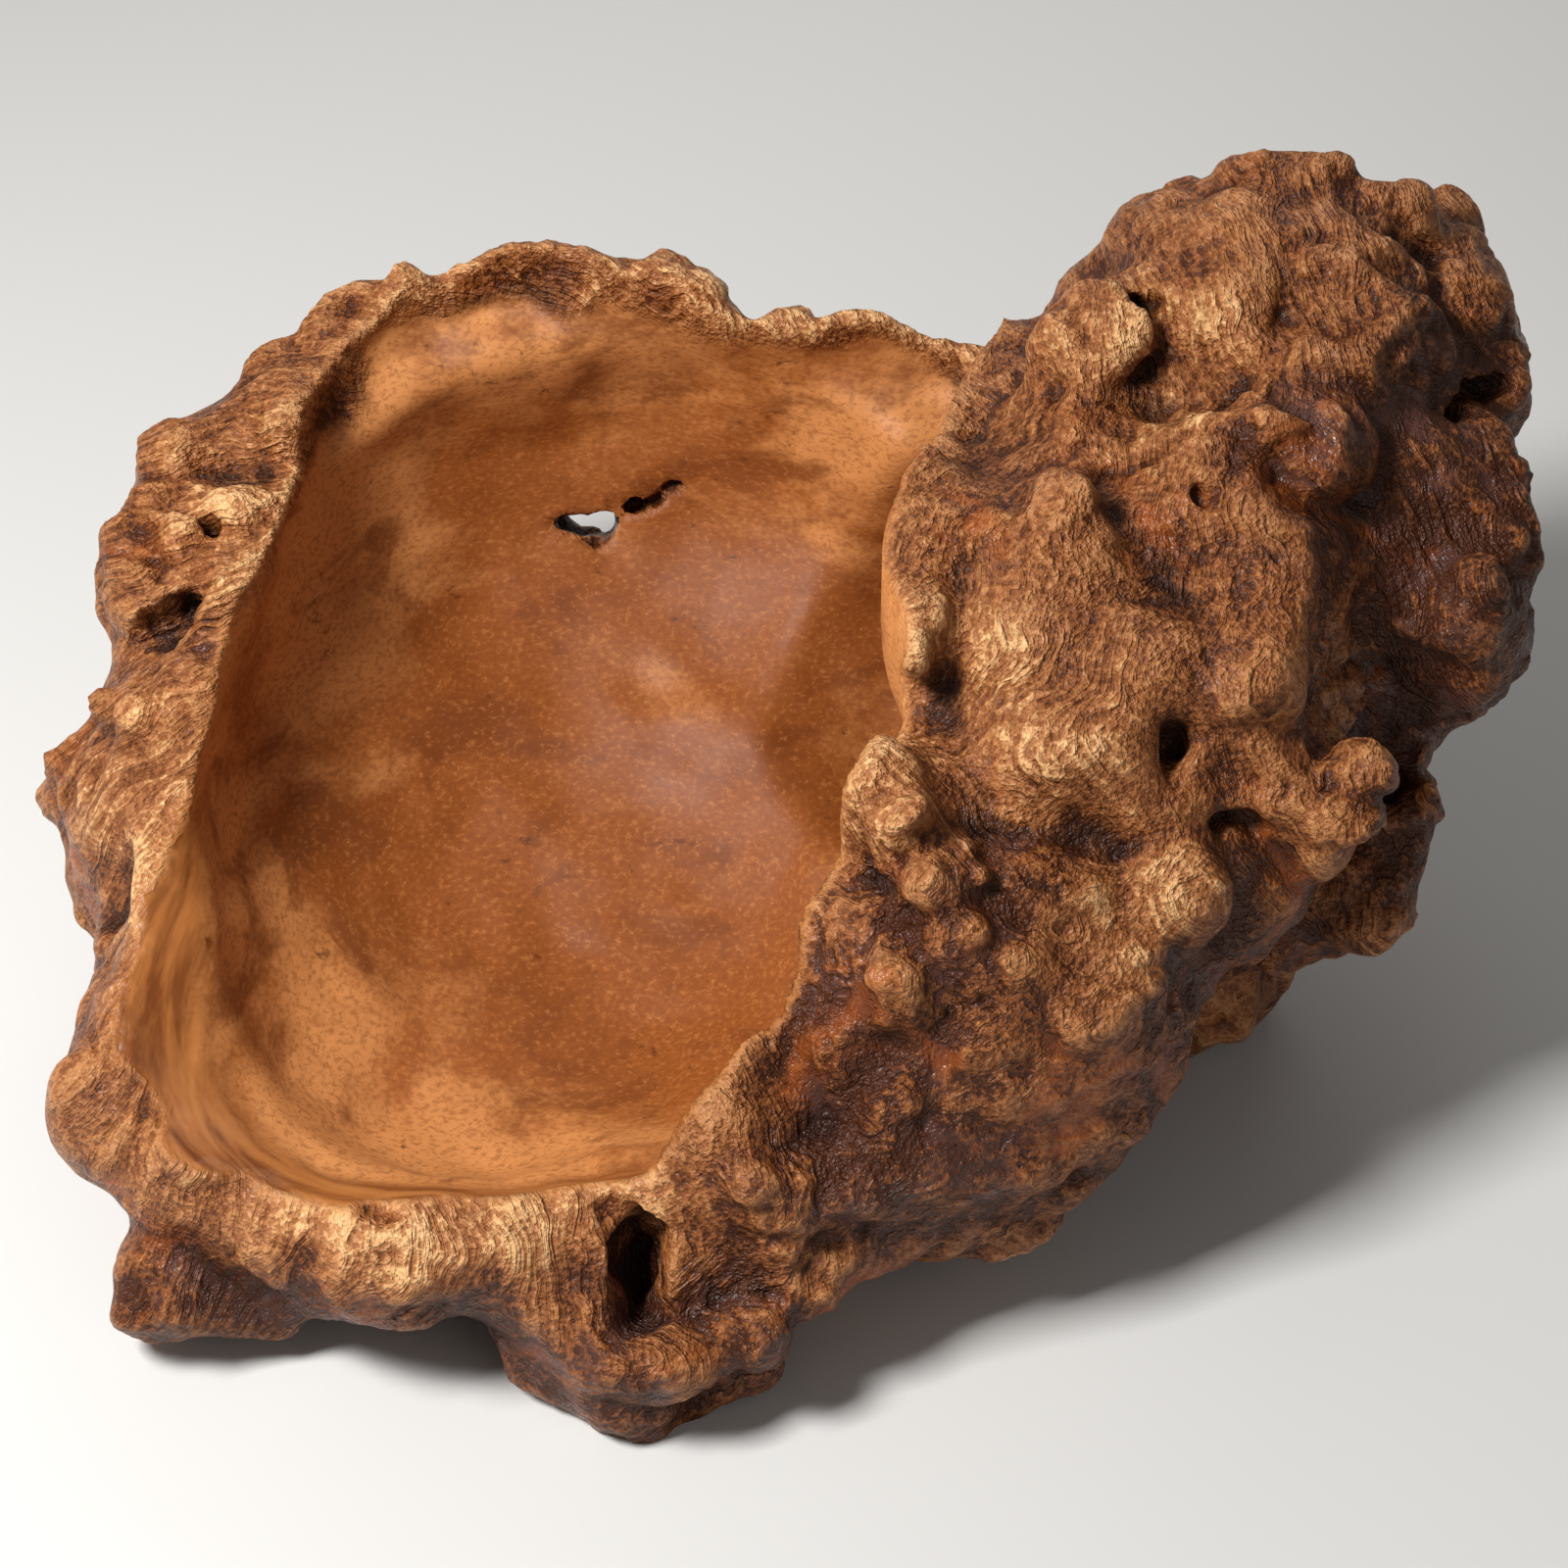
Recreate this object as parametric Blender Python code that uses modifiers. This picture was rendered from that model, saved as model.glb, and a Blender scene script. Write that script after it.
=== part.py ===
"""Hollowed tree burl: one grown piece of wood, carved out from its open side into a deep bowl.

Run with: blender --background --python part.py
Units are metres, +Z is up, and the origin is on the resting face, at the middle of the outline.
The rough outside is a mass of fused swellings. The hollow is carved smooth, its mouth opens upwards,
and the mass on the right is left standing as a hood over one side of the hollow.
"""

import math
from typing import NamedTuple

import bmesh
import bpy
from mathutils import Euler, Matrix, Vector, noise

# ---------------------------------------------------------------- driving dimensions
MM = 0.001
SWELLING_VOXEL = 5.0 * MM
HOLLOW_VOXEL = 4.7 * MM
SKIN_VOXEL = 4.0 * MM
SKIN_TRIANGLES = 9000
FLOOR_BLOCK = 200.0 * MM
WELD = 0.01 * MM
# How often icospheres and curves are divided.
LOBE_FINENESS = 4
HOLE_FINENESS = 2
CURVE_FINENESS = 6
# How often each fused skin is evened out.
BODY_EASE = 8
RIM_EASE = 6
HOLLOW_EASE = 25
SKIN_EASE = 4

# Lumps all over the outside: how far apart and how high, in mm, and the share by which they rise more.
LUMPS = ((95.0, 17.0), (44.0, 12.0))
LUMP_BIAS = -0.04

WOOD_COLOUR = (0.30, 0.13, 0.055, 1.0)
WOOD_ROUGHNESS = 0.5


class Lobe(NamedTuple):
    """One ellipsoid swelling: where its middle is, its half sizes and how it is turned, in mm and degrees."""

    middle: tuple
    half: tuple
    turn: tuple = (0.0, 0.0, 0.0)


# The masses of the outside, in mm.
BODY = {
    "cup": Lobe((-60, -5, 110), (215, 190, 128), (20, 0, 0)),
    "hood_crown": Lobe((205, 150, 255), (90, 82, 82)),
    "hood_shoulder": Lobe((262, 165, 230), (64, 68, 78)),
    "hood_right": Lobe((256, 95, 190), (70, 85, 80)),
    "hood_skirt": Lobe((215, 25, 120), (66, 64, 72)),
    "hood_middle": Lobe((125, 45, 175), (128, 150, 118)),
    "hood_front": Lobe((75, -65, 115), (105, 108, 108)),
    "hood_base": Lobe((120, 30, 75), (100, 95, 80)),
    "front_ridge": Lobe((0, -115, 75), (100, 80, 75)),
    "front_lip": Lobe((-110, -145, 62), (150, 62, 58)),
    "left_low": Lobe((-235, -70, 75), (60, 90, 62)),
    "left_middle": Lobe((-235, 40, 100), (68, 85, 82)),
    "left_back": Lobe((-209, 117, 145), (78, 90, 95)),
    "back_left": Lobe((-105, 164, 190), (140, 82, 140)),
    "back_middle": Lobe((-22, 172, 170), (80, 60, 84)),
    "back_right": Lobe((30, 145, 170), (125, 74, 140)),
}
FEET = {
    "front_foot": Lobe((-58, -165, 32), (52, 48, 48)),
    "left_foot": Lobe((-212, -138, 38), (50, 50, 45)),
    "right_foot": Lobe((172, 15, 32), (50, 50, 45)),
    "back_foot": Lobe((-20, 80, 40), (170, 90, 60)),
}

# Smaller knobs that stand out from them, in mm.
KNOBS = {
    "peak": Lobe((200, 180, 312), (22, 20, 26)),
    "twin_left": Lobe((243, 180, 318), (13, 13, 18)),
    "twin_right": Lobe((262, 184, 314), (14, 13, 17)),
    "corner": Lobe((300, 165, 268), (24, 24, 30)),
    "lip_beak": Lobe((48, -78, 222), (26, 30, 24)),
    "lip_top": Lobe((62, 20, 268), (28, 34, 24)),
    "shoulder": Lobe((165, 40, 262), (38, 46, 34)),
    "cheek": Lobe((205, -38, 178), (34, 34, 38)),
    "low_cheek": Lobe((135, -110, 112), (32, 32, 36)),
    "toe_left": Lobe((-98, -184, 22), (24, 22, 24)),
    "toe_middle": Lobe((-55, -192, 18), (26, 22, 24)),
    "toe_right": Lobe((-14, -180, 30), (24, 22, 26)),
    "chin": Lobe((42, -162, 66), (30, 26, 30)),
    "left_knob": Lobe((-268, 95, 165), (24, 28, 28)),
    "left_low_knob": Lobe((-276, -25, 82), (22, 26, 26)),
}

# Holes grown into it: the pit in the front wall and the gap through the back wall, in mm.
PIT = Lobe((-50, -196, 76), (13, 30, 26), (-10, 0, 8))
GAP = Lobe((-83, 203, 122), (14, 46, 7), (-30, 12, 0))

# The space carved out of it, in mm.
HOLLOW = {
    "bowl": Lobe((-75, 0, 150), (160, 160, 112), (12, 0, 0)),
    "bowl_front": Lobe((-120, -65, 118), (105, 98, 72), (12, 0, 0)),
    "under_hood": Lobe((90, 60, 150), (145, 115, 92)),
    "back": Lobe((-60, 95, 190), (150, 112, 110)),
}

# The mouth's outline in plan, in mm, round from the front.
MOUTH = (
    (-131, -167), (-85, -165), (-35, -152), (0, -120), (30, -92), (42, -71), (55, -43),
    (42, -15), (60, 45), (80, 117), (100, 165), (90, 190), (14, 194), (-25, 197), (-80, 215),
    (-150, 212), (-186, 180), (-203, 124), (-211, 72), (-230, 45), (-221, -10), (-228, -65),
    (-226, -105), (-205, -140), (-177, -158),
)
# How far the mouth's straight sides reach below and above the rim's slope.
MOUTH_BELOW = 30.0
MOUTH_ABOVE = 250.0

# What the rim is levelled to: a slope that rises from the front to the back.
RIM_OUTLINE = (
    (-60, -170), (-20, -110), (20, -60), (32, 45), (68, 130), (112, 190), (135, 300),
    (-400, 300), (-400, -260), (-75, -260),
)
# The slope's place and height at the front, its angle, and how it droops to both sides of its ridge.
RIM_FRONT_Y = -160.0
RIM_FRONT_Z = 108.0
RIM_TILT = 22.0
RIM_RIDGE_X = -90.0
RIM_DROOP_AT = 180.0
RIM_DROOP = 20.0
SLOPE_VOXEL = 12.0 * MM


def clear_scene() -> None:
    """Removes whatever the file holds."""
    for obj in list(bpy.data.objects):
        bpy.data.objects.remove(obj, do_unlink=True)


def new_collection(name: str, hidden: bool = False):
    """A collection linked to the scene; a hidden one stays out of renders."""
    collection = bpy.data.collections.new(name)
    collection.hide_render = hidden
    bpy.context.scene.collection.children.link(collection)
    return collection


def link_mesh(name: str, shape, collection):
    """An object that holds the bmesh's shape."""
    mesh = bpy.data.meshes.new(name)
    shape.to_mesh(mesh)
    shape.free()
    obj = bpy.data.objects.new(name, mesh)
    collection.objects.link(obj)
    return obj


def add_lobe(shape, lobe: Lobe, fineness: int = LOBE_FINENESS) -> None:
    """Adds one ellipsoid to the bmesh."""
    place = (
        Matrix.Translation(Vector(lobe.middle) * MM)
        @ Euler([math.radians(angle) for angle in lobe.turn]).to_matrix().to_4x4()
        @ Matrix.Diagonal((*[half * MM for half in lobe.half], 1.0))
    )
    bmesh.ops.create_icosphere(shape, subdivisions=fineness, radius=1.0, matrix=place)


def apply_modifiers(obj):
    """Replaces the object's mesh by its evaluated one."""
    graph = bpy.context.evaluated_depsgraph_get()
    baked = bpy.data.meshes.new_from_object(obj.evaluated_get(graph))
    obj.modifiers.clear()
    obj.data = baked
    return obj


def fused(obj, voxel: float, smoothing: int):
    """Fuses the overlapping shells of a mesh into one skin and eases its creases."""
    remesh = obj.modifiers.new("fuse", "REMESH")
    remesh.mode = "VOXEL"
    remesh.voxel_size = voxel
    remesh.adaptivity = 0.0
    if smoothing:
        ease = obj.modifiers.new("ease", "SMOOTH")
        ease.factor = 0.5
        ease.iterations = smoothing
    return apply_modifiers(obj)


def lumpy(obj):
    """Raises rounded lumps over the whole skin, each along the skin's own direction."""
    moved = []
    for vertex in obj.data.vertices:
        place = vertex.co / MM
        height = sum(rise * (noise.noise(place / apart) + LUMP_BIAS) for apart, rise in LUMPS)
        moved.append(vertex.co + vertex.normal * height * MM)
    for vertex, place in zip(obj.data.vertices, moved):
        vertex.co = place
    return obj


def body_of_wood(collection):
    """The uncarved burl: every swelling fused into one mass."""
    shape = bmesh.new()
    for lobe in (*BODY.values(), *FEET.values(), *KNOBS.values()):
        add_lobe(shape, lobe)
    return fused(link_mesh("burl", shape, collection), SWELLING_VOXEL, BODY_EASE)


def prism(name: str, outline, low: float, high: float, smooth: bool, collection):
    """An upright prism on an outline in plan, as a mesh object."""
    curve = bpy.data.curves.new(name, "CURVE")
    curve.dimensions = "2D"
    curve.fill_mode = "BOTH"
    curve.extrude = (high - low) / 2 * MM
    spline = curve.splines.new("BEZIER")
    spline.bezier_points.add(len(outline) - 1)
    for point, (x, y) in zip(spline.bezier_points, outline):
        point.co = (x * MM, y * MM, 0.0)
        point.handle_left_type = point.handle_right_type = "AUTO" if smooth else "VECTOR"
    spline.use_cyclic_u = True
    spline.resolution_u = CURVE_FINENESS if smooth else 1
    drawn = bpy.data.objects.new(name + "_outline", curve)
    collection.objects.link(drawn)
    graph = bpy.context.evaluated_depsgraph_get()
    mesh = bpy.data.meshes.new_from_object(drawn.evaluated_get(graph))
    bpy.data.objects.remove(drawn)
    shape = bmesh.new()
    shape.from_mesh(mesh)
    bmesh.ops.remove_doubles(shape, verts=shape.verts, dist=WELD)
    bmesh.ops.translate(shape, verts=shape.verts, vec=(0.0, 0.0, (high + low) / 2 * MM))
    return link_mesh(name, shape, collection)


def rim_height(x: float, y: float) -> float:
    """How high the rim's slope is over a place in plan, all in mm."""
    rise = math.tan(math.radians(RIM_TILT))
    return RIM_FRONT_Z + (y - RIM_FRONT_Y) * rise - RIM_DROOP * ((x - RIM_RIDGE_X) / RIM_DROOP_AT) ** 2


def on_rim_slope(obj):
    """Shifts an upright shape so that its level ends follow the slope of the rim."""
    fused(obj, SLOPE_VOXEL, 0)
    for vertex in obj.data.vertices:
        vertex.co.z += rim_height(vertex.co.x / MM, vertex.co.y / MM) * MM
    return obj


def hollow_cutter(collection):
    """The carved space as one closed shape."""
    mouth = on_rim_slope(prism("mouth", MOUTH, -MOUTH_BELOW, MOUTH_ABOVE, True, collection))
    shape = bmesh.new()
    shape.from_mesh(mouth.data)
    bpy.data.objects.remove(mouth)
    for lobe in HOLLOW.values():
        add_lobe(shape, lobe)
    return fused(link_mesh("hollow", shape, collection), HOLLOW_VOXEL, HOLLOW_EASE)


def rim_cutter(collection):
    """What is sawn off above the rim, all but the hood."""
    return on_rim_slope(prism("rim_slope", RIM_OUTLINE, 0.0, MOUTH_ABOVE, False, collection))


def carve(obj, cutter):
    """Cuts the object by the cutter."""
    cutter.hide_render = True
    cutter.display_type = "WIRE"
    cut = obj.modifiers.new("carve", "BOOLEAN")
    cut.solver = "MANIFOLD"
    cut.object = cutter
    return apply_modifiers(obj)


def thinned(obj, triangles: int):
    """Brings the skin down to about this many triangles."""
    fewer = obj.modifiers.new("thin", "DECIMATE")
    fewer.ratio = triangles / (2 * len(obj.data.polygons))
    fewer.use_collapse_triangulate = True
    return apply_modifiers(obj)


def hole_cutter(name: str, lobe: Lobe, collection):
    """One of the holes grown into the wood, as a cutter."""
    shape = bmesh.new()
    add_lobe(shape, lobe, fineness=HOLE_FINENESS)
    return link_mesh(name, shape, collection)


def floor_cutter(collection):
    """The block below the resting face."""
    shape = bmesh.new()
    place = Matrix.Translation((0.0, 0.0, -FLOOR_BLOCK / 2)) @ Matrix.Diagonal((1.0, 1.0, FLOOR_BLOCK, 1.0))
    bmesh.ops.create_cube(shape, size=1.0, matrix=place)
    return link_mesh("floor", shape, collection)


def centred(obj):
    """Moves the mesh so that the middle of its outline stands on the origin."""
    ends = [[fold(vertex.co[axis] for vertex in obj.data.vertices) for fold in (min, max)] for axis in (0, 1)]
    middle = [sum(pair) / 2 for pair in ends]
    obj.data.transform(Matrix.Translation((-middle[0], -middle[1], 0.0)))
    return obj


def finish_wood(obj) -> None:
    """Gives the burl its own wood and shades it smooth."""
    wood = bpy.data.materials.new("burl_wood")
    wood.use_nodes = True
    shader = wood.node_tree.nodes["Principled BSDF"]
    shader.inputs["Base Color"].default_value = WOOD_COLOUR
    shader.inputs["Roughness"].default_value = WOOD_ROUGHNESS
    shader.inputs["Metallic"].default_value = 0.0
    obj.data.materials.clear()
    obj.data.materials.append(wood)
    obj.data.shade_smooth()


def main() -> None:
    """Builds the burl."""
    clear_scene()
    wood = new_collection("tree_burl")
    tools = new_collection("cutters", hidden=True)
    burl = body_of_wood(wood)
    carve(burl, rim_cutter(tools))
    lumpy(fused(burl, SWELLING_VOXEL, RIM_EASE))
    carve(burl, hollow_cutter(tools))
    fused(burl, SKIN_VOXEL, SKIN_EASE)
    thinned(burl, SKIN_TRIANGLES)
    carve(burl, hole_cutter("pit", PIT, tools))
    carve(burl, hole_cutter("gap", GAP, tools))
    carve(burl, floor_cutter(tools))
    centred(burl)
    finish_wood(burl)


if __name__ == "__main__":
    main()
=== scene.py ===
"""The looks of a hollowed tree burl: a gnarled, knobbly outside and a smooth, oiled hollow."""

import logging
import math
import random
from collections.abc import Callable
from dataclasses import dataclass, field
from enum import Enum

import bmesh
import bpy
import numpy as np
from mathutils import Euler, Matrix, Vector, noise
from mathutils.bvhtree import BVHTree


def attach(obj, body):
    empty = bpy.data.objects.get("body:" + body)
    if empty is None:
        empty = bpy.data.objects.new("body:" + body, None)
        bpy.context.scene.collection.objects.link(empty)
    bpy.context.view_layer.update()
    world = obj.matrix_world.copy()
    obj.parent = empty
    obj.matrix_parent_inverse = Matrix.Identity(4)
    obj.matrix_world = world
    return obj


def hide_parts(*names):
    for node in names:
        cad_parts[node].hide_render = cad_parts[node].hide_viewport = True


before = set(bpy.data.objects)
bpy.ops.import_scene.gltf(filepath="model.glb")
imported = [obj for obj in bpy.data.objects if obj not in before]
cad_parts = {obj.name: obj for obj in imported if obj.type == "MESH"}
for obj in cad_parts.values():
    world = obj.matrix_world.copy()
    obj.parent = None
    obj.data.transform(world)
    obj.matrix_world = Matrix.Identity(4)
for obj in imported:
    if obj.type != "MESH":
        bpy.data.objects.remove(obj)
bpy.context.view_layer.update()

log = logging.getLogger("tree_burl")
MM = 0.001
# How near points are made one, in metres.
MERGE = 1e-5
Plan = tuple[float, float]
Span = tuple[float, float]
Place = tuple[float, float, float]
Colour = tuple[float, float, float, float]
# Waves of noise: how far apart the crests of each are, and how high it is, in mm.
Waves = tuple[tuple[float, float], ...]


class Layer(Enum):
    """What the skin carries for the finish to read, point by point."""

    CARVED = "carved"
    LIP = "lip"
    RELIEF = "relief"
    HEIGHT = "height"
    DEEP = "deep"
    GOLD_AND_LIT = "gold_and_lit"
    DARK_AND_SHADE = "dark_and_shade"


@dataclass(frozen=True)
class Swelling:
    """One ellipsoid mass of wood, or one ellipsoid bite out of it, in mm and degrees."""

    middle: Place
    half: Place
    turn: Place = (0.0, 0.0, 0.0)

    def add_to(self, shape: bmesh.types.BMesh, fineness: int = 4) -> None:
        """Adds the ellipsoid to a bmesh.

        Args:
            shape: The bmesh that takes it.
            fineness: How often the icosphere is subdivided.
        """
        place = (
            Matrix.Translation(Vector(self.middle) * MM)
            @ Euler([math.radians(angle) for angle in self.turn]).to_matrix().to_4x4()
            @ Matrix.Diagonal((*[half * MM for half in self.half], 1.0))
        )
        bmesh.ops.create_icosphere(shape, subdivisions=fineness, radius=1.0, matrix=place)


def ramp(value: np.ndarray, low: float, high: float) -> np.ndarray:
    """A smooth step, either way round.

    Args:
        value: What to step on.
        low: Where it is 0.
        high: Where it is 1.

    Returns:
        The step, from 0 to 1.
    """
    share = np.clip((value - low) / (high - low), 0.0, 1.0)
    return share * share * (3.0 - 2.0 * share)


def over(places: np.ndarray, work: Callable[[Vector], float | Vector]) -> np.ndarray:
    """Works something out at every place.

    Args:
        places: One place a row, in mm.
        work: What to work out.

    Returns:
        One row a place.
    """
    return np.array([work(place) for place in map(Vector, places)])


def bend(place: Vector, waves: Waves) -> Vector:
    """Sums waves of vector noise.

    Args:
        place: The place, in mm.
        waves: The waves.

    Returns:
        How far they bend that place, in mm.
    """
    return sum((noise.noise_vector(place / apart) * reach for apart, reach in waves), Vector())


@dataclass
class Skin:
    """The mesh of an object as arrays, with the sums that its points' neighbours give."""

    obj: bpy.types.Object
    points: np.ndarray = field(init=False)
    normals: np.ndarray = field(init=False)
    edges: np.ndarray = field(init=False)

    def __post_init__(self) -> None:
        """Reads the mesh."""
        mesh = self.obj.data
        count = len(mesh.vertices)
        self.points = np.empty(count * 3)
        mesh.vertices.foreach_get("co", self.points)
        self.points = self.points.reshape(-1, 3)
        self.normals = np.empty(count * 3)
        mesh.vertices.foreach_get("normal", self.normals)
        self.normals = self.normals.reshape(-1, 3)
        self.edges = np.empty(len(mesh.edges) * 2, np.int32)
        mesh.edges.foreach_get("vertices", self.edges)
        self.edges = self.edges.reshape(-1, 2)

    def store(self) -> None:
        """Writes the points back to the mesh."""
        self.obj.data.vertices.foreach_set("co", self.points.ravel())
        self.obj.data.update()

    def eased(self, values: np.ndarray, rounds: int) -> np.ndarray:
        """Values evened out with their neighbours' again and again.

        Args:
            values: One row for each point.
            rounds: How many times.

        Returns:
            The evened values.
        """
        one, other = self.edges[:, 0], self.edges[:, 1]
        count = len(self.points)
        shares = np.bincount(one, minlength=count) + np.bincount(other, minlength=count)
        shares = np.maximum(shares, 1)
        columns = values.reshape(count, -1).copy()
        for _ in range(rounds):
            for column in range(columns.shape[1]):
                row = columns[:, column]
                total = np.bincount(one, row[other], count) + np.bincount(other, row[one], count)
                columns[:, column] = 0.5 * row + 0.5 * total / shares
        return columns.reshape(values.shape)

    def standing(self, rounds: int) -> np.ndarray:
        """How far each point stands out of the skin around it.

        Args:
            rounds: How often that skin is evened out.

        Returns:
            One distance a point, in mm.
        """
        return np.einsum("ij,ij->i", self.points - self.eased(self.points, rounds), self.normals) / MM

    def keep(self, layer: Layer, values: np.ndarray) -> None:
        """Stores one value a point on the mesh.

        Args:
            layer: What the values are.
            values: One for each point.
        """
        attribute = self.obj.data.attributes.new(layer.value, "FLOAT", "POINT")
        attribute.data.foreach_set("value", values.astype(np.float32))


def apply_modifiers(obj: bpy.types.Object) -> bpy.types.Object:
    """Replaces the object's mesh by its evaluated one.

    Args:
        obj: The object, changed in place.

    Returns:
        The same object.
    """
    graph = bpy.context.evaluated_depsgraph_get()
    baked = bpy.data.meshes.new_from_object(obj.evaluated_get(graph))
    obj.modifiers.clear()
    obj.data = baked
    return obj


def new_object(name: str, shape: bmesh.types.BMesh) -> bpy.types.Object:
    """Makes an object of a bmesh and frees the bmesh.

    Args:
        name: The new object's name.
        shape: The bmesh.

    Returns:
        The object, in the scene.
    """
    mesh = bpy.data.meshes.new(name)
    shape.to_mesh(mesh)
    shape.free()
    obj = bpy.data.objects.new(name, mesh)
    bpy.context.scene.collection.objects.link(obj)
    return obj


def fused(obj: bpy.types.Object, voxel: float, smoothing: int) -> bpy.types.Object:
    """Fuses the overlapping shells of a mesh into one skin and eases its creases.

    Args:
        obj: The object, changed in place.
        voxel: The size of the new faces, in mm.
        smoothing: How often the new points are evened out.

    Returns:
        The same object.
    """
    remesh = obj.modifiers.new("fuse", "REMESH")
    remesh.mode = "VOXEL"
    remesh.voxel_size = voxel * MM
    remesh.adaptivity = 0.0
    if smoothing:
        ease = obj.modifiers.new("ease", "SMOOTH")
        ease.factor = 0.5
        ease.iterations = smoothing
    return apply_modifiers(obj)


@dataclass(frozen=True)
class Folds:
    """The flowing ridges, knobs and creases of the rough skin, in mm."""

    drift: Waves = ((80.0, 26.0), (27.0, 9.0))
    swell_apart: float = 46.0
    swell_high: float = 5.0
    fold_apart: float = 33.0
    fold_high: float = 13.0
    knob_apart: float = 15.0
    knob_high: float = 5.0
    # The noise's size at which a fold or knob neither rises nor sinks.
    level: float = 0.2
    crease_apart: float = 52.0
    crease_deep: float = 4.5
    crease_wide: float = 0.07
    calm_crease: float = 0.4

    def height(self, place: Vector, wild: float) -> float:
        """How far the folds lift the skin.

        Args:
            place: The place, in mm.
            wild: How gnarled the wood is there.

        Returns:
            The height, in mm.
        """
        at = place + bend(place, self.drift)
        swell = self.swell_high * noise.noise(at / self.swell_apart)
        folds = self.fold_high * wild * (abs(noise.noise(at / self.fold_apart)) - self.level)
        knobs = self.knob_high * wild * wild * (abs(noise.noise(at / self.knob_apart)) - self.level)
        crease = max(0.0, 1.0 - abs(noise.noise(at / self.crease_apart)) / self.crease_wide)
        share = self.calm_crease + (1.0 - self.calm_crease) * wild
        return swell + folds + knobs - self.crease_deep * share * crease * crease


@dataclass(frozen=True)
class Grain:
    """The fine relief of the rough skin, in mm."""

    drift: Waves = ((36.0, 12.0), (11.0, 3.0))
    # The fibres run out from the middle of the mouth: how they are wrapped round it, and how far stretched.
    middle: Plan = (-75.0, 0.0)
    wrapped: float = 170.0
    climb: float = 0.8
    stretch: float = 5.0
    fibre_apart: float = 4.6
    fine_apart: float = 2.4
    fibre_high: float = 0.6
    bud_apart: float = 7.5
    bud_high: float = 2.0
    bud_level: float = 0.2
    ring_apart: float = 6.5
    ring_high: float = 0.7
    ring_swell: float = 1.5

    def height(self, place: Vector, wild: float, eyes: list[tuple[Place, float]]) -> float:
        """How far the grain lifts the skin.

        Args:
            place: The place, in mm.
            wild: How gnarled the wood is there.
            eyes: Where the grain rings round a bud, and how far.

        Returns:
            The height, in mm.
        """
        at = place + bend(place, self.drift)
        along = self.along(at)
        fibre = noise.noise(along / self.fibre_apart) + 0.5 * noise.noise(along / self.fine_apart)
        buds = abs(noise.noise(at / self.bud_apart)) - self.bud_level
        return self.fibre_high * fibre + self.bud_high * wild * buds + self.rings(place, eyes)

    def along(self, place: Vector) -> Vector:
        """Turns a place to the grain's own frame.

        Args:
            place: The place, in mm.

        Returns:
            The same place in that frame.
        """
        out = Vector((place.x - self.middle[0], place.y - self.middle[1], 0.0))
        turn = out.normalized() * self.wrapped
        return Vector((turn.x, turn.y, (out.length + self.climb * place.z) / self.stretch))

    def rings(self, place: Vector, eyes: list[tuple[Place, float]]) -> float:
        """How far the rings round the buds lift the skin.

        Args:
            place: The place, in mm.
            eyes: Where the grain rings round a bud, and how far.

        Returns:
            The height, in mm.
        """
        height = 0.0
        for middle, reach in eyes:
            away = (place - Vector(middle)).length
            if away < reach:
                share = 1.0 - away / reach
                wave = math.cos(away * 2.0 * math.pi / self.ring_apart)
                height += share * (self.ring_high * wave + self.ring_swell * share)
        return height


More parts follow.
